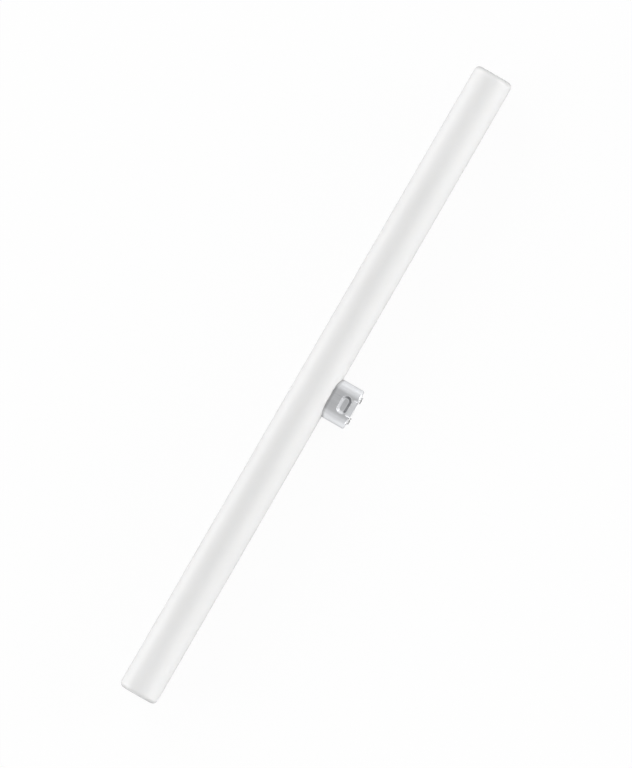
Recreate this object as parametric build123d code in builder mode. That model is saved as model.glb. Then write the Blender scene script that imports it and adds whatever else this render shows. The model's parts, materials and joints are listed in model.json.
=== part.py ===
from build123d import *

import os
from math import asin, atan2, cos, hypot, radians, sin, tan

# A tubular lamp that plugs in at the middle of its tube, in millimetres with +Z up.
# It lies as it comes to rest on a table, on its tube and on the lower edge of its cap:
# the tube runs along X, and the cap points forward, towards -Y, and a little down.

# Opal tube, one piece with closed, rounded ends
tube_length = 500.0
tube_diameter = 29.0
tube_end_radius = 3.8

# Cap shell, drawn from thin aluminium sheet, with its length along the tube
cap_offset = 2.2  # middle of the tube to the middle of the cap
cap_length = 30.2
cap_width = 16.0
cap_height = 17.4  # top of the tube's round to the contact end
shell_wall = 0.5
seat_edge = 0.35  # eased edge where the wall turns into the flange on the tube
seat_flange = 3.0  # outside of the shell to the flange's free edge
seat_film = 0.05  # adhesive between the tube and the flange
end_bend = 0.5  # inner radius of the bend into the flange round the contact plate
end_flange = 3.5  # outside of the shell to that flange's free edge

# Latch pockets, pressed into both broad sides, where the springs of the holder catch
latch_shoulder = 0.3  # flat left between the pocket and the rounds of the shell
latch_height = 7.6
latch_depth = 1.4
latch_slope = 55.0  # of the walls, in degrees from the direction of pressing
latch_land = 0.3  # ridge left between the pocket and the ramp

# Lead-in ramps below the pockets, which part the springs as the lamp is pushed in
ramp_width = 11.8
ramp_height = 3.8
ramp_depth = 1.4  # at the contact end
ramp_slope = 50.0  # of the side walls, in degrees from the direction of pressing

press_edge = 0.25  # width of the eased edges of the pressings

# Contact plate, moulded to fill the shell behind the end flange
plate_thickness = 2.4
plate_proud = 0.5  # raised middle of the plate beyond the end flange
plate_edge = 0.3  # eased edge of the raised middle
plate_clearance = 0.05

# Contacts, riveted through the plate
contact_spacing = 16.4
contact_diameter = 4.95
contact_proud = 1.05
contact_edge = 0.35  # eased edge of the contact's face
shank_diameter = 2.4
shank_clearance = 0.03
tail_diameter = 4.0
tail_height = 0.6

tube_radius = tube_diameter / 2
cap_reach = tube_radius + cap_height
plate_shoulder = cap_reach - shell_wall - plate_clearance
plate_back = plate_shoulder - plate_thickness
plate_face = cap_reach + plate_proud
contact_face = plate_face + contact_proud
opening_length = cap_length - 2 * end_flange
opening_width = cap_width - 2 * end_flange

# The cap dips until the rounded lower edge of its contact end touches the table with the tube
edge_radius = end_bend + shell_wall
edge_reach = cap_reach - edge_radius
edge_side = cap_width / 2 - edge_radius
edge_angle = atan2(edge_side, edge_reach)
dip = asin((tube_radius - edge_radius) / hypot(edge_reach, edge_side)) - edge_angle

# The tube's axis stands back so that the lamp as a whole is centred over the origin
contact_front = (contact_face - contact_edge) * cos(dip) + contact_diameter / 2 * sin(dip)
contact_front = max(contact_front, contact_face * cos(dip) + (contact_diameter / 2 - contact_edge) * sin(dip))
shell_front = edge_reach * cos(dip) + edge_side * sin(dip) + edge_radius
axis_back = (max(contact_front, shell_front) - tube_radius) / 2

# In the lamp's own plane x runs along the tube, y out through the cap and z up from the table
lamp = Plane(origin=(0, axis_back, tube_radius), x_dir=(-1, 0, 0), z_dir=(0, -sin(dip), cos(dip)))
tube_section = Plane(origin=lamp.origin, x_dir=lamp.y_dir, z_dir=lamp.x_dir)
cap_middle = lamp.from_local_coords((cap_offset, 0, 0))
cap = Plane(origin=cap_middle, x_dir=lamp.x_dir, z_dir=lamp.y_dir)
cap_axis = Axis(cap.origin, cap.z_dir)

latch_length = cap_length - cap_width - 2 * latch_shoulder
latch_reach = cap_reach - ramp_height - latch_land - latch_height / 2
latch_middle = lamp.from_local_coords((cap_offset, latch_reach, cap_width / 2))
latch = Plane(origin=latch_middle, x_dir=lamp.x_dir, z_dir=lamp.z_dir)
ramp_run = hypot(ramp_height, ramp_depth)
ramp_top = lamp.from_local_coords((cap_offset, cap_reach - ramp_height, cap_width / 2))
ramp_normal = lamp.z_dir * (ramp_height / ramp_run) + lamp.y_dir * (ramp_depth / ramp_run)
ramp = Plane(origin=ramp_top, x_dir=lamp.x_dir, z_dir=ramp_normal)


def floor_growth(inset, slope):
    # How far a pressing's floor widens at each edge when its floor and walls move in by the inset
    return inset * (1 - sin(radians(slope))) / cos(radians(slope))


def latch_cut(inset):
    # A slot-shaped pocket with sloping walls, from its floor out past the broad side
    run = tan(radians(latch_slope))
    margin = floor_growth(inset, latch_slope) - latch_depth * run
    rise = latch_depth + inset + shell_wall
    with BuildPart() as cut:
        with BuildSketch(latch.offset(-latch_depth - inset)):
            SlotOverall(latch_length + 2 * margin, latch_height + 2 * margin)
        with BuildSketch(latch.offset(shell_wall)):
            SlotOverall(latch_length + 2 * (margin + rise * run), latch_height + 2 * (margin + rise * run))
        loft(ruled=True)
    return cut.part


def ramp_cut(inset):
    # A flat ramp with sloping side walls, cut on past the contact end
    width = ramp_width + 2 * floor_growth(inset, ramp_slope)
    rise = 2 * ramp_depth + inset
    spread = 2 * rise * tan(radians(ramp_slope))
    length = ramp_run + 2 * ramp_depth
    with BuildPart() as cut:
        with BuildSketch(ramp.offset(-inset)):
            with Locations((0, ramp_run / 2)):
                Rectangle(width, length)
        with BuildSketch(ramp.offset(rise - inset)):
            with Locations((0, ramp_run / 2)):
                Rectangle(width + spread, length)
        loft(ruled=True)
    return cut.part


def cap_form(inset):
    # The cap's form with all its faces moved in by the inset, so that two such forms bound an even wall.
    # The end bend of the outer form is round, and those of the forms inside it are flat across the same reach.
    bend = chamfer if inset else fillet
    latch_tool = latch_cut(inset)
    ramp_tool = ramp_cut(inset)
    with BuildPart() as form:
        with BuildSketch(cap):
            SlotOverall(cap_length - 2 * inset, cap_width - 2 * inset)
        extrude(amount=cap_reach - inset)
        bend(form.faces().sort_by(cap_axis)[-1].edges(), end_bend + shell_wall - inset)
        with BuildSketch(tube_section):
            Circle(tube_radius + seat_film + inset)
        extrude(amount=tube_length, both=True, mode=Mode.SUBTRACT)
        chamfer(form.faces().sort_by_distance(cap.origin)[0].edges(), seat_edge)
        for tool in (latch_tool, ramp_tool):
            add(tool, mode=Mode.SUBTRACT)
            mirror(tool, about=lamp, mode=Mode.SUBTRACT)
    return form.part


def save(piece, name):
    piece.part.label = name
    export_step(piece.part, f"parts/{name}.step")


os.makedirs("parts", exist_ok=True)

with BuildPart() as opal_tube:
    with BuildSketch(tube_section):
        Circle(tube_radius)
    extrude(amount=tube_length / 2, both=True)
    fillet(opal_tube.edges().filter_by(GeomType.CIRCLE), tube_end_radius)
save(opal_tube, "opal_tube")

outer_form = cap_form(0)
inner_form = cap_form(shell_wall)
with BuildPart() as cap_shell:
    add(outer_form)
    flats = cap_shell.faces().filter_by(lamp).sort_by(Axis(lamp.origin, lamp.z_dir))
    chamfer(flats[0].inner_wires().edges() + flats[-1].inner_wires().edges(), press_edge)
    chamfer(flats[1].edges() + flats[2].edges(), press_edge)
    add(inner_form, mode=Mode.SUBTRACT)
    with BuildSketch(cap):
        SlotOverall(cap_length - 2 * seat_flange, cap_width - 2 * seat_flange)
    extrude(amount=tube_radius + seat_film + 2 * shell_wall, mode=Mode.SUBTRACT)
    with BuildSketch(cap.offset(cap_reach)):
        SlotOverall(opening_length, opening_width)
    extrude(amount=-2 * shell_wall, mode=Mode.SUBTRACT)
save(cap_shell, "cap_shell")

plate_form = cap_form(shell_wall + plate_clearance)
with BuildPart() as contact_plate:
    add(plate_form)
    split(bisect_by=cap.offset(plate_back), keep=Keep.TOP)
    with BuildSketch(cap.offset(plate_back)):
        SlotOverall(opening_length - 2 * plate_clearance, opening_width - 2 * plate_clearance)
    extrude(amount=plate_face - plate_back)
    chamfer(contact_plate.faces().sort_by(cap_axis)[-1].edges(), plate_edge)
    with BuildSketch(cap.offset(plate_back)):
        with GridLocations(contact_spacing, 0, 2, 1):
            Circle(shank_diameter / 2 + shank_clearance)
    extrude(amount=plate_face - plate_back, mode=Mode.SUBTRACT)
save(contact_plate, "contact_plate")

for name, place in (("contact_left", 1), ("contact_right", -1)):
    contact_middle = lamp.from_local_coords((cap_offset + place * contact_spacing / 2, 0, 0))
    contact_plane = Plane(origin=contact_middle, x_dir=lamp.x_dir, z_dir=lamp.z_dir)
    with BuildPart() as contact:
        with BuildSketch(contact_plane):
            with BuildLine():
                Polyline(
                    (0, contact_face),
                    (contact_diameter / 2, contact_face),
                    (contact_diameter / 2, plate_face),
                    (shank_diameter / 2, plate_face),
                    (shank_diameter / 2, plate_back),
                    (tail_diameter / 2, plate_back),
                    (tail_diameter / 2, plate_back - tail_height),
                    (0, plate_back - tail_height),
                    close=True,
                )
            make_face()
        revolve(axis=Axis(contact_plane.origin, contact_plane.y_dir))
        chamfer(contact.faces().sort_by(cap_axis)[-1].edges(), contact_edge)
    save(contact, name)
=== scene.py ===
import json

import bmesh
import bpy
import numpy as np
from mathutils import Matrix, Vector


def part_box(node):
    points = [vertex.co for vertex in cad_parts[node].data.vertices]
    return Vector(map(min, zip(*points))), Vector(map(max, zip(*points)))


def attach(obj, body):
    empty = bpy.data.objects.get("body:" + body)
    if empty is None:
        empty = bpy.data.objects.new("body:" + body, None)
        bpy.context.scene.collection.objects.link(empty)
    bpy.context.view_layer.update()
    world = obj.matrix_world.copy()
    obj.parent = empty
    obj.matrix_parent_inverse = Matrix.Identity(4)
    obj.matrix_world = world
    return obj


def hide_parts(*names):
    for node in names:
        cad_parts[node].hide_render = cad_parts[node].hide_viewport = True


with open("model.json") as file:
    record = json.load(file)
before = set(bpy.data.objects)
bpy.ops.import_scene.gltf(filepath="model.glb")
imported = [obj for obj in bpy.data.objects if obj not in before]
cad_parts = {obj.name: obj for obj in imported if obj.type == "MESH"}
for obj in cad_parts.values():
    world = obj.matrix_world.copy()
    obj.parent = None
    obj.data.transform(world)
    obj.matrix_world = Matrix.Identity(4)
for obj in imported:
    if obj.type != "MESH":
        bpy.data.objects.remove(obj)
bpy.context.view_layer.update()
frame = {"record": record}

plugMount = next(mount for mount in frame["record"]["mounts"] if mount["name"] == "cap_plug")
tubeBox = np.array([list(corner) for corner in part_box("opal_tube")])
tubeMiddle = tubeBox.mean(axis=0)  # on the tube's axis, in metres
alongDir = np.array([-1.0, 0.0, 0.0])  # along the tube, to the end at the lower left of the picture
capDir = np.array(plugMount["axis"])
capDir = capDir / np.linalg.norm(capDir)  # out through the cap
upDir = np.cross(alongDir, capDir)  # square to both, towards the camera
capShift = -1000 * plugMount["pos_m"][0]  # middle of the tube to the middle of the cap, in mm
capDip = float(np.degrees(np.arcsin(-capDir[2])))
print("lamp frame: cap leans", round(capDip, 2), "degrees to the table")


def inLamp(along, cap, up):
    # every surface is worked out in mm in the lamp's own frame, then set out in metres
    # from the tube's middle along its three directions
    place = along[..., None] * alongDir + cap[..., None] * capDir + up[..., None] * upDir
    return tubeMiddle + place / 1000


def softMax(first, second, soft):
    # the greater of two fields, with the crease between them rounded over about soft
    return 0.5 * (first + second + np.sqrt((first - second) ** 2 + soft ** 2))


def softMin(first, second, soft):
    return -softMax(-first, -second, soft)


def smoothStep(low, high, value):
    share = np.clip((value - low) / (high - low), 0, 1)
    return share * share * (3 - 2 * share)


def arc(start, end, count):
    return np.radians(np.linspace(start, end, count))


mergeGap = 1e-7  # metres


def gridMesh(name, points, wrapRows=False, layers=None):
    # quads between neighbouring rows and columns of the grid; columns always wrap, and rows on request
    rows, columns = points.shape[:2]
    index = np.arange(rows * columns).reshape(rows, columns)
    upper = np.roll(index, -1, axis=0) if wrapRows else index[1:]
    lower = index if wrapRows else index[:-1]
    loop = [lower, np.roll(lower, -1, axis=1), np.roll(upper, -1, axis=1), upper]
    quads = np.stack(loop, axis=-1).reshape(-1, 4)
    flat = points.reshape(-1, 3)
    corner = flat[quads] - flat.mean(axis=0)
    across = np.cross(corner[:, 1] - corner[:, 3], corner[:, 2])
    volume = np.einsum("ij,ij->i", corner[:, 0], across).sum()
    if volume < 0:  # wound the wrong way round, so turned to face out
        quads = quads[:, ::-1]
    mesh = bpy.data.meshes.new(name)
    mesh.from_pydata(flat.tolist(), [], quads.tolist())
    for label, values in (layers or {}).items():
        layer = mesh.attributes.new(label, "FLOAT", "POINT")
        layer.data.foreach_set("value", values.reshape(-1).astype(np.float32))
    shape = bmesh.new()
    shape.from_mesh(mesh)
    bmesh.ops.remove_doubles(shape, verts=shape.verts, dist=mergeGap)  # closes poles and middle lines
    shape.to_mesh(mesh)
    shape.free()
    mesh.polygons.foreach_set("use_smooth", np.ones(len(mesh.polygons), dtype=bool))
    mesh.update()
    return mesh


def dressNode(mesh, node, finish):
    piece = bpy.data.objects.new(mesh.name, mesh)
    bpy.context.scene.collection.objects.link(piece)
    mesh.materials.append(finish)
    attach(piece, "root")
    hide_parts(node)
    print(mesh.name, "has", len(mesh.polygons), "faces")


def newFinish(name):
    finish = bpy.data.materials.new(name)
    finish.use_nodes = True
    tree = finish.node_tree
    shader = tree.nodes["Principled BSDF"]
    place = tree.nodes.new("ShaderNodeTexCoord").outputs["Object"]
    return finish, tree, shader, place


def wire(tree, source, target):
    tree.links.new(source, target)


def stretched(tree, place, scale, turn=(0.0, 0.0, 0.0)):
    # object coordinates turned and stretched, for grain that runs one way
    mapping = tree.nodes.new("ShaderNodeMapping")
    mapping.vector_type = "TEXTURE"
    mapping.inputs["Rotation"].default_value = turn
    mapping.inputs["Scale"].default_value = [1 / part for part in scale]
    wire(tree, place, mapping.inputs["Vector"])
    return mapping.outputs["Vector"]


def noise(tree, vector, scale, detail=2.0, rough=0.5):
    texture = tree.nodes.new("ShaderNodeTexNoise")
    texture.inputs["Scale"].default_value = scale
    texture.inputs["Detail"].default_value = detail
    texture.inputs["Roughness"].default_value = rough
    wire(tree, vector, texture.inputs["Vector"])
    return texture.outputs["Fac"]


def remap(tree, value, low, high, toLow=0.0, toHigh=1.0):
    node = tree.nodes.new("ShaderNodeMapRange")
    node.interpolation_type = "SMOOTHSTEP"
    ends = {"From Min": low, "From Max": high, "To Min": toLow, "To Max": toHigh}
    for socket, number in ends.items():
        node.inputs[socket].default_value = number
    wire(tree, value, node.inputs["Value"])
    return node.outputs["Result"]


def combine(tree, kind, first, second=0.0):
    node = tree.nodes.new("ShaderNodeMath")
    node.operation = kind
    wire(tree, first, node.inputs[0])
    if isinstance(second, float):
        node.inputs[1].default_value = second
    else:
        wire(tree, second, node.inputs[1])
    return node.outputs["Value"]


def blendColours(tree, share, first, second):
    # first and second are colours or colour sockets; share goes from one to the other
    node = tree.nodes.new("ShaderNodeMix")
    node.data_type = "RGBA"
    wire(tree, share, node.inputs["Factor"])
    for socket, colour in ((node.inputs[6], first), (node.inputs[7], second)):
        if isinstance(colour, tuple):
            socket.default_value = (*colour, 1.0)
        else:
            wire(tree, colour, socket)
    return node.outputs[2]


def surfaceLayer(tree, label):
    node = tree.nodes.new("ShaderNodeAttribute")
    node.attribute_name = label
    return node.outputs["Fac"]


def relief(tree, shader, heights):
    # bumps laid over one another: (height socket, depth in metres, strength)
    normal = None
    for height, depth, strength in heights:
        bump = tree.nodes.new("ShaderNodeBump")
        bump.inputs["Distance"].default_value = depth
        bump.inputs["Strength"].default_value = strength
        wire(tree, height, bump.inputs["Height"])
        if normal is not None:
            wire(tree, normal, bump.inputs["Normal"])
        normal = bump.outputs["Normal"]
    wire(tree, normal, shader.inputs["Normal"])


# turns the pattern's y to the cap's direction
capTurn = (float(np.arctan2(capDir[2], capDir[1])), 0.0, 0.0)

opalLook = {
    "pale": (0.899, 0.898, 0.895),
    "dim": (0.874, 0.873, 0.869),
    "ends": (0.69, 0.69, 0.687),  # painted shade on the rounds of the closed ends
    "cloud": 22.0,  # per metre
    "cloudStretch": (0.4, 1.0, 1.0),  # longer along the tube
    "cloudSpan": (0.35, 0.65),  # part of the pattern from dim to pale
    "grain": 2600.0,
    "grainRelief": (0.00003, 0.25),  # depth in metres, strength
    "streaks": (2.0, 240.0, 240.0),  # per metre, along the tube and across it
    "streakSpan": (0.3, 0.7),
    "streakRelief": (0.00004, 0.15),
    "sheen": (0.29, 0.37),  # roughness from streak to streak
    "gloss": 1.6,  # index of the satin surface
    "milk": 0.15,  # share of the light that spreads inside
    "scatterReach": 0.0035,
    "scatterTint": (1.0, 0.95, 0.9),
    "skin": (0.921, 0.921, 0.921),  # clear skin, which dims the milky white where it is seen edge-on
    "skinIndex": 1.02,
    "skinSheen": 0.3,
}


def opalFinish():
    # milky white with faint clouds, with painted shade at the ends, with a fine satin grain
    # and long streaks in the sheen along the tube
    look = opalLook
    finish, tree, shader, place = newFinish("satinOpal")
    clouds = noise(tree, stretched(tree, place, look["cloudStretch"]), look["cloud"], detail=3.0)
    tint = blendColours(tree, remap(tree, clouds, *look["cloudSpan"]), look["dim"], look["pale"])
    # painted shade on the rounds of the ends, lighter at the -X end
    tint = blendColours(tree, surfaceLayer(tree, "endShade"), tint, look["ends"])
    wire(tree, tint, shader.inputs["Base Color"])
    streaks = noise(tree, stretched(tree, place, look["streaks"]), 1.0, detail=3.0)
    sheen = remap(tree, streaks, *look["streakSpan"], *look["sheen"])
    wire(tree, sheen, shader.inputs["Roughness"])
    grain = noise(tree, place, look["grain"])
    relief(tree, shader, [(grain, *look["grainRelief"]), (streaks, *look["streakRelief"])])
    shader.inputs["Subsurface Weight"].default_value = look["milk"]
    shader.inputs["Subsurface Radius"].default_value = look["scatterTint"]
    shader.inputs["Subsurface Scale"].default_value = look["scatterReach"]
    shader.inputs["IOR"].default_value = look["gloss"]
    shader.inputs["Coat Weight"].default_value = 1.0
    shader.inputs["Coat IOR"].default_value = look["skinIndex"]
    shader.inputs["Coat Roughness"].default_value = look["skinSheen"]
    shader.inputs["Coat Tint"].default_value = (*look["skin"], 1.0)
    return finish


aluminiumLook = {
    "bright": (0.908, 0.918, 0.936),
    "dull": (0.845, 0.857, 0.877),
    "rubbedAndShaded": (0.20, 0.205, 0.215),  # dark grey of the rub marks and of the painted shade in the pocket and on glinting walls
    # painted shade along the seat, where the shell meets the tube
    "seatShade": (0.36, 0.36, 0.355),
    "edgeOn": (0.5, 0.5, 0.5),  # dims the metal where it is seen at a grazing angle
    "drawLines": 900.0,  # per metre, across the draw
    "drawStretch": (1.0, 0.012, 1.0),  # long in the cap's direction
    "drawSpan": (0.25, 0.75),
    "drawRelief": (0.00002, 0.22),  # depth in metres, strength
    "cloud": 160.0,
    "toneSpan": (0.75, 1.25),  # part of lines and clouds together, from dull to bright
    "speckle": 3200.0,
    "speckleRelief": (0.00001, 0.2),
    "patchSpan": (0.6, 1.2),  # part of speckle and clouds together
    "patchLevel": (0.7, 1.0),  # strength of the rub marks and of the painted shade from patch to patch
    "sheen": (0.27, 0.37),  # roughness from line to line
    "wornSheen": -0.07,  # added to it on worn edges
    "rubbedAndShadedSheen": 0.2,  # added to it in rub marks and painted shade
}


def aluminiumFinish():
    # satin metal with fine lines along the draw and duller clouds, smoother on the worn pocket edges,
    # with grey rub marks, painted shade in the pocket and on glinting walls, and painted shade along
    # the seat
    look = aluminiumLook
    finish, tree, shader, place = newFinish("drawnAluminium")
    drawn = stretched(tree, place, look["drawStretch"], capTurn)
    lines = noise(tree, drawn, look["drawLines"], detail=3.0, rough=0.6)
    clouds = noise(tree, place, look["cloud"], detail=3.0)
    speckle = noise(tree, place, look["speckle"])
    tone = remap(tree, combine(tree, "ADD", lines, clouds), *look["toneSpan"])
    metal = blendColours(tree, tone, look["dull"], look["bright"])
    patchy = combine(tree, "ADD", speckle, clouds)
    patchy = remap(tree, patchy, *look["patchSpan"], *look["patchLevel"])
    # rub marks on the ramps and painted shade in the pocket and on glinting walls, in one dark grey
    rubAndShadeShare = combine(tree, "MULTIPLY", surfaceLayer(tree, "rubAndShade"), patchy)
    metal = blendColours(tree, rubAndShadeShare, metal, look["rubbedAndShaded"])
    # painted shade along the seat, where the shell meets the tube
    seatShade = combine(tree, "MULTIPLY", surfaceLayer(tree, "seatShadeLayer"), patchy)
    metal = blendColours(tree, seatShade, metal, look["seatShade"])
    wire(tree, metal, shader.inputs["Base Color"])
    shader.inputs["Metallic"].default_value = 1.0
    shader.inputs["Specular Tint"].default_value = (*look["edgeOn"], 1.0)
    worn = remap(tree, surfaceLayer(tree, "bentEdge"), 0.0, 1.0, 0.0, look["wornSheen"])
    rubbedAndShaded = remap(tree, rubAndShadeShare, 0.0, 1.0, 0.0, look["rubbedAndShadedSheen"])
    sheen = remap(tree, lines, *look["drawSpan"], *look["sheen"])
    sheen = combine(tree, "ADD", combine(tree, "ADD", sheen, worn), rubbedAndShaded)
    wire(tree, sheen, shader.inputs["Roughness"])
    relief(tree, shader, [(lines, *look["drawRelief"]), (speckle, *look["speckleRelief"])])
    return finish


plateLook = {
    "pale": (0.91, 0.908, 0.90),
    "dim": (0.87, 0.868, 0.86),
    "cloud": 220.0,  # per metre
    "cloudSpan": (0.3, 0.7),
    "grain": 2400.0,
    "grainSpan": (0.3, 0.7),
    "grainRelief": (0.00003, 0.5),  # depth in metres, strength
    "sheen": (0.42, 0.58),  # roughness from grain to grain
}


def plateFinish():
    # moulded plastic with a fine spark-eroded grain and faint flow clouds
    look = plateLook
    finish, tree, shader, place = newFinish("plateMoulding")
    clouds = noise(tree, place, look["cloud"], detail=3.0)
    tint = blendColours(tree, remap(tree, clouds, *look["cloudSpan"]), look["dim"], look["pale"])
    wire(tree, tint, shader.inputs["Base Color"])
    grain = noise(tree, place, look["grain"])
    sheen = remap(tree, grain, *look["grainSpan"], *look["sheen"])
    wire(tree, sheen, shader.inputs["Roughness"])
    relief(tree, shader, [(grain, *look["grainRelief"])])
    return finish


contactLook = {
    "bright": (0.58, 0.582, 0.586),
    "dull": (0.435, 0.437, 0.44),
    "rings": 5200.0,  # per metre of radius
    "ringRelief": (0.00002, 0.3),  # depth in metres, strength
    "scuffs": 900.0,
    "scuffStretch": (0.08, 1.0, 1.0),  # long along the tube
    "scuffSpan": (0.3, 0.7),
    "scuffRelief": (0.00001, 0.2),
    "toneSpan": (0.8, 1.25),  # part of rings and scuffs together, from dull to bright
    "sheen": (0.22, 0.38),  # roughness from scuff to scuff
}


def contactFinish():
    # plated metal with turned rings, which follow the ringRadius layer,
    # and scuffs from the springs of the holder
    look = contactLook
    finish, tree, shader, place = newFinish("platedContact")
    radius = tree.nodes.new("ShaderNodeCombineXYZ")
    wire(tree, surfaceLayer(tree, "ringRadius"), radius.inputs["X"])
    rings = noise(tree, radius.outputs["Vector"], look["rings"])
    scuffed = stretched(tree, place, look["scuffStretch"])
    scuffs = noise(tree, scuffed, look["scuffs"], detail=3.0, rough=0.65)
    tone = remap(tree, combine(tree, "ADD", rings, scuffs), *look["toneSpan"])
    metal = blendColours(tree, tone, look["dull"], look["bright"])
    wire(tree, metal, shader.inputs["Base Color"])
    shader.inputs["Metallic"].default_value = 1.0
    sheen = remap(tree, scuffs, *look["scuffSpan"], *look["sheen"])
    wire(tree, sheen, shader.inputs["Roughness"])
    relief(tree, shader, [(rings, *look["ringRelief"]), (scuffs, *look["scuffRelief"])])
    return finish


tube = {
    "length": 500.0,
    "diameter": 29.0,
    "endRadius": 3.8,
    "shadeStart": 3.2,  # mm from the end where the painted shade starts
    "shadeFull": 0.4,  # mm from the end where it is darkest
    "shadeFlat": 0.4,  # share of that on the flat of the end, where it is lighter
    "shadeFlatEdge": (-1.5, 0.5),  # mm past the flat's edge, between which the share grows to the whole
    "shadeMinusX": 0.65,  # share of it all at the -X end, which is painted lighter
    "columns": 240,
    "bodyRows": 48,
    "endRows": 16,
    "flatRows": 5,
}


def tubeSkin():
    # a profile of distance along and radius, turned about the tube's axis:
    # flat end, quarter round, straight side
    half = tube["length"] / 2
    radius = tube["diameter"] / 2
    bend = tube["endRadius"]
    flat = radius - bend
    flatRows = tube["flatRows"]
    turn = arc(0, 90, tube["endRows"])
    flatRadius = np.linspace(0, flat, flatRows + 1)[:-1]
    endAlong = np.concatenate([np.full(flatRows, half), half - bend + bend * np.cos(turn)])
    endRadius = np.concatenate([flatRadius, flat + bend * np.sin(turn)])
    body = np.linspace(half - bend, bend - half, tube["bodyRows"])[1:-1]
    along = np.concatenate([endAlong, body, -endAlong[::-1]])
    out = np.concatenate([endRadius, np.full(len(body), radius), endRadius[::-1]])
    around = np.arange(tube["columns"]) * 2 * np.pi / tube["columns"]
    along, around = np.meshgrid(along, around, indexing="ij")
    out = np.broadcast_to(out[:, None], along.shape)
    points = inLamp(along, out * np.cos(around), out * np.sin(around))
    # layer for the finish, painted shade on the ends: smooth steps of the distances from the end and
    # from its flat
    endShade = smoothStep(half - tube["shadeStart"], half - tube["shadeFull"], np.abs(along))
    low, high = tube["shadeFlatEdge"]
    offFlat = smoothStep(flat + low, flat + high, out)
    endShade = endShade * (tube["shadeFlat"] + (1 - tube["shadeFlat"]) * offFlat)
    endShade = endShade * np.where(along > 0, tube["shadeMinusX"], 1.0)
    mesh = gridMesh("opalTubeSkin", points, layers={"endShade": endShade})
    dressNode(mesh, "opal_tube", opalFinish())


shell = {
    "length": 30.2,
    "width": 16.0,
    "reach": 31.9,  # tube axis to the contact end
    "wall": 0.5,
    "seatRadius": 14.55,  # of the saddle that follows the tube
    "seatFlange": 3.0,
    "endFlange": 3.5,
    "pressFacing": (0.55, 0.75),  # how squarely the wall faces up or down where the pressings fade in
    "pressFacingLeast": 0.5,
    "flatColumns": 104,
    "roundColumns": 64,
    # bends of the two skins at the seat, at the contact end and at the ramps' ends,
    # and the rows in each stretch
    "outer": {"seatBend": 0.35, "endBend": 1.3, "rampBend": 0.45,
              "flange": 5, "seat": 8, "wall": 112, "end": 14, "rim": 8},
    "inner": {"seatBend": 0.12, "endBend": 0.5, "rampBend": 0.2,
              "flange": 4, "seat": 4, "wall": 36, "end": 6, "rim": 5},
}
latch = {
    "length": 13.6,
    "height": 7.6,
    "depth": 1.4,
    "slope": 55.0,  # of the walls, in degrees from the direction of pressing
    "reach": 24.0,  # tube axis to the pocket's middle
    "soft": 0.14,  # rounds the creases
    "ridgeSoft": 0.1,  # rounds the ridge between pocket and ramp
}
ramp = {
    "width": 11.8,
    "height": 3.8,
    "depth": 1.4,  # at the contact end
    "slope": 50.0,  # of the side walls
    "soft": 0.14,
    "endBlend": 0.5,  # depth over which the end bend turns into the ramp's
}


def capOutline(length, width):
    # once round a slot: distance along, distance up, and the outward direction,
    # with the flats and the rounds in even steps
    radius = width / 2
    half = (length - width) / 2
    steps = np.arange(shell["flatColumns"]) / shell["flatColumns"]
    sweep = np.pi * np.arange(shell["roundColumns"]) / shell["roundColumns"]
    run = half * (2 * steps - 1)
    along = np.concatenate([run, half + radius * np.sin(sweep), -run, -half - radius * np.sin(sweep)])
    up = np.concatenate([np.full(run.shape, radius), radius * np.cos(sweep),
                         np.full(run.shape, -radius), -radius * np.cos(sweep)])
    middle = np.clip(along, -half, half)
    return along, up, (along - middle) / radius, up / radius


def latchDepth(along, reach):
    # distance in from a slot's edge, over the tangent of the wall's slope, no deeper than the floor
    half = (latch["length"] - latch["height"]) / 2
    past = np.maximum(np.abs(along) - half, 0)
    inside = latch["height"] / 2 - np.hypot(past, reach - latch["reach"])
    wall = inside / np.tan(np.radians(latch["slope"]))
    return softMin(wall, np.full(inside.shape, latch["depth"]), latch["soft"])


rampLean = np.arctan2(ramp["depth"], ramp["height"])


def rampDepth(along, reach):
    # a plane that sinks towards the contact end, and rises again past its width
    # at the slope of the side walls
    start = shell["reach"] - ramp["height"]
    past = softMax(np.abs(along) - ramp["width"] / 2, np.zeros(along.shape), ramp["soft"])
    rise = past / (np.cos(rampLean) * np.tan(np.radians(ramp["slope"])))
    return (reach - start) * np.tan(rampLean) - rise


def pressedDepth(along, up, outUp, reach):
    # how far the wall is pressed in: the deeper of pocket and ramp below the flat, and never outward
    drop = shell["width"] / 2 - np.abs(up)
    deeper = softMax(latchDepth(along, reach), rampDepth(along, reach), latch["ridgeSoft"])
    raw = deeper - drop
    facing = smoothStep(*shell["pressFacing"], np.abs(outUp))
    pressed = facing * softMax(raw, np.zeros(raw.shape), latch["soft"])
    return pressed / np.maximum(np.abs(outUp), shell["pressFacingLeast"])


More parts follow.
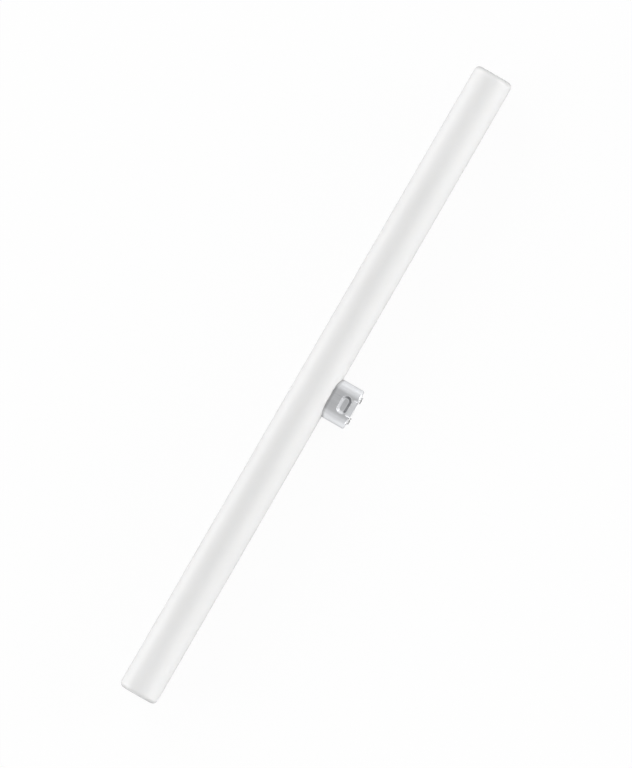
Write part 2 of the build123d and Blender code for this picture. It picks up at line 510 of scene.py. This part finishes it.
def shellChain(inset, skin):
    # one skin of the shell from the seat flange's free edge to the end flange's free edge,
    # a row at a time: along the saddle, round the seat bend, up the pressed wall,
    # round the end bend and in along the end flange
    along, up, outAlong, outUp = capOutline(shell["length"], shell["width"])
    seatBend = skin["seatBend"]
    saddle = shell["seatRadius"] + inset
    ballAlong = along - outAlong * (inset + seatBend)  # middle of a ball that touches wall and saddle
    ballUp = up - outUp * (inset + seatBend)
    ballReach = np.sqrt((saddle + seatBend) ** 2 - ballUp ** 2)
    toTube = np.stack([np.zeros(along.shape), ballReach, ballUp]) / (saddle + seatBend)
    toWall = np.stack([outAlong, np.zeros(along.shape), outUp])
    swing = np.arccos(np.clip(-(toTube * toWall).sum(axis=0), -1, 1))
    share = np.linspace(0, 1, skin["seat"])[:, None]
    fromTube = -np.sin((1 - share) * swing)[:, None] * toTube
    turned = (fromTube + np.sin(share * swing)[:, None] * toWall) / np.sin(swing)
    seatAlong = ballAlong + seatBend * turned[:, 0]
    seatReach = ballReach + seatBend * turned[:, 1]
    seatUp = ballUp + seatBend * turned[:, 2]

    share = np.linspace(0, 1, skin["flange"])[:-1, None]
    freeAlong = along - outAlong * shell["seatFlange"]
    freeUp = up - outUp * shell["seatFlange"]
    flangeAlong = freeAlong + share * (seatAlong[0] - freeAlong)
    flangeUp = freeUp + share * (seatUp[0] - freeUp)
    flangeReach = np.sqrt(saddle ** 2 - flangeUp ** 2)

    top = shell["reach"] - inset
    endDepth = pressedDepth(along, up, outUp, np.full(along.shape, shell["reach"]))
    onRamp = smoothStep(0.0, ramp["endBlend"], endDepth)
    lean = rampLean * onRamp
    bend = skin["endBend"] + (skin["rampBend"] - skin["endBend"]) * onRamp
    tangent = bend * np.tan((np.pi / 2 - lean) / 2)
    corner = endDepth + inset * (1 / np.cos(lean) - np.tan(lean))  # wall line carried to the end plane
    wallTop = top - tangent * np.cos(lean)

    share = np.linspace(0, 1, skin["wall"])[1:-1, None]
    wallReach = seatReach[-1] + share * (wallTop - seatReach[-1])
    wallIn = inset + pressedDepth(np.broadcast_to(along, wallReach.shape), up, outUp, wallReach)

    share = np.linspace(0, 1, skin["end"])[:, None]
    angle = lean + share * (np.pi / 2 - lean)
    endIn = corner + tangent - bend * np.cos(angle)
    endReach = top - bend + bend * np.sin(angle)
    share = np.linspace(0, 1, skin["rim"])[1:, None]
    rimIn = endIn[-1] + share * (shell["endFlange"] - endIn[-1])
    rimReach = np.full(rimIn.shape, top)

    sideIn = np.concatenate([wallIn, endIn, rimIn])
    sideReach = np.concatenate([wallReach, endReach, rimReach])
    chainAlong = np.concatenate([flangeAlong, seatAlong, along - outAlong * sideIn])
    chainUp = np.concatenate([flangeUp, seatUp, up - outUp * sideIn])
    chainReach = np.concatenate([flangeReach, seatReach, sideReach])
    return chainAlong, chainReach, chainUp


wearAndShade = {
    "flatEdge": (0.6, 0.8),  # share of the half width where the marks fade in
    "wallStart": 0.2,  # mm of depth over which marks in the pocket start
    "wallEnd": (0.25, 0.02),  # mm above its floor, between which they end
    "shadeWay": (-0.79, 0.62),  # side of the pocket's walls that gets painted shade: along the tube, out through the cap
    "shadeWayEdge": (-0.5, 0.25),  # share of that way where the painted shade fades in
    "dulledWall": 0.35,  # painted shade on the wall towards the tube, damping its glint
    "dulledWallEdge": (0.2, 0.9),
    "glintShadeCorners": 0.45,  # added in the two corners of that wall, where the glints fall
    "glintShadeCornersEdge": (0.05, 0.4),
    "rampMarks": 0.18,  # strength on the ramps
    "rampWallShade": (0.6, 0.2),  # painted shade added on their side walls, damping a glint, more on those towards -X
    "rampWallShadeEdge": 0.35,  # mm past the ramp's width
    "rampMarksStart": 0.15,  # mm of depth
    "endBend": 0.4,  # strength of the painted shade on the end bend, damping its glints
    "endBendSpan": (1.2, 0.4, 0.3),  # mm from the contact end: start, full, and where it fades again
    # strength of the painted shade along the seat
    "seatShade": 0.55,
    "seatShadeEdge": (0.7, 2.2),  # mm from the saddle
    "mouthDepth": 0.02,  # mm of depth where the pocket's edge is worn smooth
    "mouthWidth": 0.12,
}


def shellMarks(along, reach, up):
    # layers for the finish, as smooth steps of depth and direction in the pocket and of distances on
    # the shell:
    # rub marks mixed with painted shade in the pocket and on glinting walls, painted shade along the
    # seat, worn edge of the pocket
    half = (latch["length"] - latch["height"]) / 2
    sideways = along - np.clip(along, -half, half)
    lengthways = reach - latch["reach"]
    away = np.maximum(np.hypot(sideways, lengthways), 1e-6)  # never zero
    depth = latchDepth(along, reach)
    onFlat = smoothStep(*wearAndShade["flatEdge"], np.abs(up) / (shell["width"] / 2))

    low, high = wearAndShade["wallEnd"]
    wall = 1 - smoothStep(latch["depth"] - low, latch["depth"] - high, depth)
    wall = smoothStep(0.0, wearAndShade["wallStart"], depth) * wall
    # painted shade on one side of the pocket's walls
    wayAlong, wayOut = wearAndShade["shadeWay"]
    shadedSide = (wayOut * lengthways + wayAlong * sideways) / away
    shadedSide = smoothStep(*wearAndShade["shadeWayEdge"], shadedSide)
    corners = -lengthways * np.abs(sideways) / away ** 2
    # painted shade on the wall towards the tube and in its corners, damping glints
    dulled = wearAndShade["dulledWall"] * smoothStep(*wearAndShade["dulledWallEdge"], -lengthways / away)
    dulled = dulled + wearAndShade["glintShadeCorners"] * smoothStep(*wearAndShade["glintShadeCornersEdge"], corners)

    past = np.abs(along) - ramp["width"] / 2
    # painted shade on the ramp's side walls, more towards -X, damping a glint
    rampMarks = np.where(along > 0, *wearAndShade["rampWallShade"]) * smoothStep(0.0, wearAndShade["rampWallShadeEdge"], past)
    rampMarks = (wearAndShade["rampMarks"] + rampMarks) * smoothStep(0.0, wearAndShade["rampMarksStart"], rampDepth(along, reach))

    # painted shade on the end bend, damping glints beside the contacts
    start, full, fade = (shell["reach"] - distance for distance in wearAndShade["endBendSpan"])
    endEdge = smoothStep(start, full, reach) * (1 - smoothStep(fade, shell["reach"], reach))
    rubAndShade = np.maximum(wall * np.maximum(shadedSide, dulled), rampMarks)
    rubAndShade = np.maximum(rubAndShade, wearAndShade["endBend"] * endEdge) * onFlat

    # painted shade along the seat crease
    seat = np.hypot(reach, up) - shell["seatRadius"]
    seatShadeLayer = wearAndShade["seatShade"] * (1 - smoothStep(*wearAndShade["seatShadeEdge"], seat))
    bentEdge = np.exp(-((depth - wearAndShade["mouthDepth"]) / wearAndShade["mouthWidth"]) ** 2) * onFlat
    return {"rubAndShade": rubAndShade, "seatShadeLayer": seatShadeLayer, "bentEdge": bentEdge}


def capShellSkin():
    # the outer skin, then the inner skin back again, closed on itself across both free edges
    outer = shellChain(0.0, shell["outer"])
    inner = shellChain(shell["wall"], shell["inner"])
    along, reach, up = (np.concatenate([one, two[::-1]]) for one, two in zip(outer, inner))
    points = inLamp(along + capShift, reach, up)
    mesh = gridMesh("capShellSkin", points, wrapRows=True, layers=shellMarks(along, reach, up))
    dressNode(mesh, "cap_shell", aluminiumFinish())


plate = {
    "face": 32.4,  # tube axis to the raised middle
    "back": 28.95,
    "shelf": 31.35,  # tube axis to the shelf behind the end flange
    "middleInset": 3.55,  # outside of the shell to the raised middle
    "shelfInset": 2.45,
    "ease": 0.3,  # round edge of the raised middle
    "bevel": 0.2,  # of the shelf's edges
    "faceRows": 9,
    "easeRows": 8,
}


def plateSkin():
    # a profile of distance out from the slot's middle line and height, carried once round the slot
    radius = shell["width"] / 2
    middleOut = radius - plate["middleInset"]
    shelfOut = radius - plate["shelfInset"]
    face, shelf, back = plate["face"], plate["shelf"], plate["back"]
    ease = plate["ease"]
    bevel = plate["bevel"]
    rows = plate["faceRows"]
    turn = arc(90, 0, plate["easeRows"])
    faceOut = np.linspace(0, middleOut - ease, rows + 1)[:-1]
    easeOut = middleOut - ease + ease * np.cos(turn)
    easeReach = face - ease + ease * np.sin(turn)
    backOut = [middleOut, shelfOut - bevel, shelfOut, shelfOut, shelfOut - bevel, 0]
    backReach = [shelf, shelf, shelf - bevel, back + bevel, back, back]
    out = np.concatenate([faceOut, easeOut, backOut])
    reach = np.concatenate([np.full(rows, face), easeReach, backReach])
    along, up, outAlong, outUp = capOutline(shell["length"], shell["width"])
    middle = along - outAlong * radius
    chainAlong = middle + out[:, None] * outAlong
    chainUp = out[:, None] * outUp
    chainReach = np.broadcast_to(reach[:, None], chainAlong.shape)
    points = inLamp(chainAlong + capShift, chainReach, chainUp)
    dressNode(gridMesh("contactPlateSkin", points), "contact_plate", plateFinish())


contact = {
    "spacing": 16.4,
    "radius": 2.475,
    "proud": 1.05,
    "ease": 0.38,
    "crown": 0.06,  # the face is a shallow dome
    "shank": 1.2,  # radius
    "tail": 2.0,  # radius
    "tailHeight": 0.6,
    "columns": 72,
    "faceRows": 11,
    "easeRows": 9,
}


def contactSkin(name, node, side, finish):
    # a rivet's profile of radius and height, turned about its own axis:
    # domed face, eased rim, shank and tail
    face = plate["face"] + contact["proud"]
    radius = contact["radius"]
    ease = contact["ease"]
    domeEdge = radius - ease
    turn = arc(90, 0, contact["easeRows"])
    domeOut = np.linspace(0, domeEdge, contact["faceRows"] + 1)[:-1]
    domeReach = face - contact["crown"] * (domeOut / domeEdge) ** 2
    rimOut = domeEdge + ease * np.cos(turn)
    rimReach = face - contact["crown"] - ease + ease * np.sin(turn)
    tailEnd = plate["back"] - contact["tailHeight"]
    stemOut = [radius, contact["shank"], contact["shank"], contact["tail"], contact["tail"], 0]
    stemReach = [plate["face"], plate["face"], plate["back"], plate["back"], tailEnd, tailEnd]
    out = np.concatenate([domeOut, rimOut, stemOut])
    reach = np.concatenate([domeReach, rimReach, stemReach])
    around = np.arange(contact["columns"]) * 2 * np.pi / contact["columns"]
    out, around = np.meshgrid(out, around, indexing="ij")
    reach = np.broadcast_to(reach[:, None], out.shape)
    middle = capShift + side * contact["spacing"] / 2
    points = inLamp(middle + out * np.cos(around), reach, out * np.sin(around))
    mesh = gridMesh(name, points, layers={"ringRadius": out / 1000})
    dressNode(mesh, node, finish)


stage = {
    "floorSize": 30.0,
    "floorTint": (0.94, 0.94, 0.94),
    "bounceTint": (0.62, 0.62, 0.62),  # what the lamp sees of it, greyer, so that its edges stand out
    "cameraWhite": 0.93,  # share of plain white for the camera, the rest being the floor's own shading
    "mirrorWhite": 0.95,  # the same in reflections
    # light of the room by angle from square above the lamp, in degrees
    "roomLight": [(0, 0.29), (15, 0.49), (30, 0.66), (45, 0.70),
                  (60, 0.73), (75, 0.88), (90, 1.14), (105, 1.6)],
    "lean": 2.0,  # degrees the dim part overhead leans along the tube
    # soft lights low in the four corners: direction, strength, narrowness
    "corners": [((0.59, -0.81, 0.07), 11.2, 32.0), ((-0.59, -0.81, 0.07), 4.6, 32.0),
                ((0.5, 0.84, 0.22), 3.8, 24.0), ((-0.5, 0.84, 0.22), 4.2, 24.0)],
}


def layFloor():
    # a pale sheet under the lamp: white to the camera and in reflections,
    # with a small part of its own shading kept for the shadow
    corner = np.array([[-1, -1, 0], [1, -1, 0], [1, 1, 0], [-1, 1, 0]]) * stage["floorSize"] / 2
    mesh = bpy.data.meshes.new("paleFloor")
    mesh.from_pydata(corner.tolist(), [], [[0, 1, 2, 3]])
    floor = bpy.data.objects.new("paleFloor", mesh)
    bpy.context.scene.collection.objects.link(floor)
    finish = bpy.data.materials.new("paleFloorPaper")
    finish.use_nodes = True
    tree = finish.node_tree
    tree.nodes.clear()
    output = tree.nodes.new("ShaderNodeOutputMaterial")
    white = tree.nodes.new("ShaderNodeEmission")
    path = tree.nodes.new("ShaderNodeLightPath")

    def mixed(share, first, second):
        node = tree.nodes.new("ShaderNodeMixShader")
        wire(tree, share, node.inputs["Fac"])
        wire(tree, first, node.inputs[1])
        wire(tree, second, node.inputs[2])
        return node.outputs["Shader"]

    def paper(tint, rays, level):
        matte = tree.nodes.new("ShaderNodeBsdfDiffuse")
        matte.inputs["Color"].default_value = (*tint, 1.0)
        share = combine(tree, "MULTIPLY", rays, level)
        return mixed(share, matte.outputs["BSDF"], white.outputs["Emission"])

    seen = path.outputs["Is Camera Ray"]
    mirrored = path.outputs["Is Glossy Ray"]
    mirrored = combine(tree, "MAXIMUM", mirrored, path.outputs["Is Transmission Ray"])
    toLamp = paper(stage["bounceTint"], mirrored, stage["mirrorWhite"])
    toCamera = paper(stage["floorTint"], seen, stage["cameraWhite"])
    wire(tree, mixed(seen, toLamp, toCamera), output.inputs["Surface"])
    mesh.materials.append(finish)


def lightStudio():
    # a white room that is dimmer overhead: the light grows from square above the lamp
    # down to the horizon, and soft lights in the corners add a power of the cosine to their directions
    world = bpy.data.worlds.new("whiteRoom")
    bpy.context.scene.world = world
    world.use_nodes = True
    tree = world.node_tree
    background = tree.nodes["Background"]
    direction = tree.nodes.new("ShaderNodeTexCoord").outputs["Generated"]

    def towards(way):
        node = tree.nodes.new("ShaderNodeVectorMath")
        node.operation = "DOT_PRODUCT"
        node.inputs[1].default_value = way.tolist()
        wire(tree, direction, node.inputs[0])
        return node.outputs["Value"]

    lean = np.radians(stage["lean"])
    overhead = np.cos(lean) * upDir + np.sin(lean) * alongDir
    angle = combine(tree, "ARCCOSINE", towards(overhead))
    widest = stage["roomLight"][-1][0]
    ladder = tree.nodes.new("ShaderNodeValToRGB")
    while len(ladder.color_ramp.elements) < len(stage["roomLight"]):
        ladder.color_ramp.elements.new(0.5)
    for element, (degrees, level) in zip(ladder.color_ramp.elements, stage["roomLight"]):
        element.position = degrees / widest
        element.color = (level, level, level, 1.0)
    wire(tree, combine(tree, "DIVIDE", angle, float(np.radians(widest))), ladder.inputs["Fac"])
    light = ladder.outputs["Color"]
    for way, level, narrow in stage["corners"]:
        way = np.array(way) / np.linalg.norm(way)
        share = combine(tree, "POWER", combine(tree, "MAXIMUM", towards(way), 0.0), narrow)
        light = combine(tree, "ADD", combine(tree, "MULTIPLY", share, level), light)
    wire(tree, light, background.inputs["Color"])


view = {
    "lens": 900.0,  # mm, so long that the view is close to parallel
    "sensor": 36.0,
    "pictureHeight": 768,  # pixels
    "pixel": 0.00069808,  # metres
    "turn": 30.0,  # degrees that the tube leans from upright in the picture
    "lift": 0.94,  # pixels from the tube's middle up to the picture's
    "farClip": 60.0,
}


def placeCamera():
    # square to the plane of tube and cap, and turned so that the tube leans in the picture
    turn = np.radians(view["turn"])
    right = -np.sin(turn) * alongDir + np.cos(turn) * capDir
    above = -np.cos(turn) * alongDir - np.sin(turn) * capDir
    distance = view["lens"] / view["sensor"] * view["pictureHeight"] * view["pixel"]
    eye = tubeMiddle + above * view["lift"] * view["pixel"] + upDir * distance
    lens = bpy.data.cameras.new("photoCamera")
    lens.lens = view["lens"]
    lens.sensor_width = view["sensor"]
    lens.clip_end = view["farClip"]
    camera = bpy.data.objects.new("photoCamera", lens)
    bpy.context.scene.collection.objects.link(camera)
    turned = Matrix((right.tolist(), above.tolist(), upDir.tolist())).transposed().to_4x4()
    camera.matrix_world = Matrix.Translation(Vector(eye.tolist())) @ turned
    bpy.context.scene.camera = camera


tubeSkin()
capShellSkin()
plateSkin()
plated = contactFinish()
contactSkin("contactLeftSkin", "contact_left", 1, plated)
contactSkin("contactRightSkin", "contact_right", -1, plated)
print("lamp dressed")
layFloor()
lightStudio()
placeCamera()
bpy.context.scene.view_settings.view_transform = "Standard"
print("stage set")
